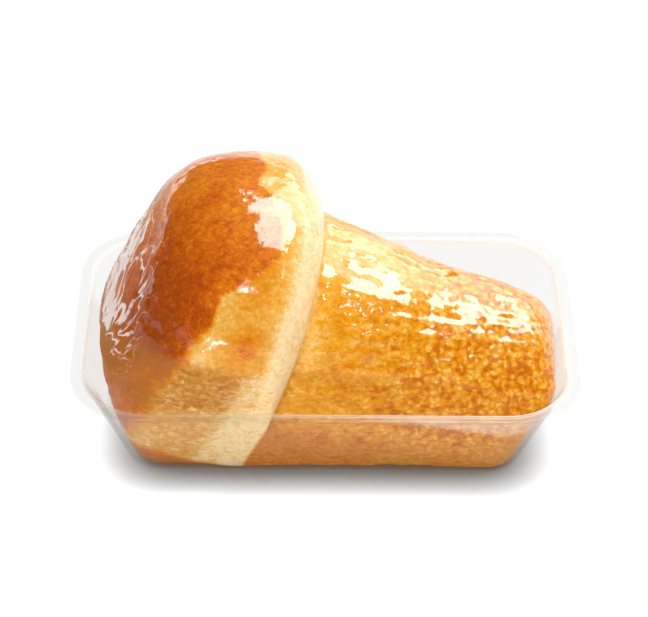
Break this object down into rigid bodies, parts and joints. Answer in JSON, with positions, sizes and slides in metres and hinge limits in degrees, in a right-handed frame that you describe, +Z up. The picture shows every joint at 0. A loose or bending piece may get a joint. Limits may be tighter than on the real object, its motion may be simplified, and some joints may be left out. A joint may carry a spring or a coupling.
{
  "type": "rum baba",
  "caption": "Mushroom-shaped yeast cake soaked in syrup, lying on its side in a clear flanged tray.",
  "frame": {"origin": "centre of the tray's flat base, on the surface it stands on", "axes": "+Z up; +X along the tray's long side, from the cake's cap to the end of its stem; -Y toward the viewer of the picture"},
  "size_m": [0.127, 0.0778, 0.0727],
  "materials": {
    "crumb": "golden to orange-brown baked crust, wet with syrup",
    "sheet": "clear thermoformed sheet, smooth and glossy"
  },
  "bodies": {
    "root": {"baba": "crumb", "tray": "sheet"}
  },
  "joints": []
}
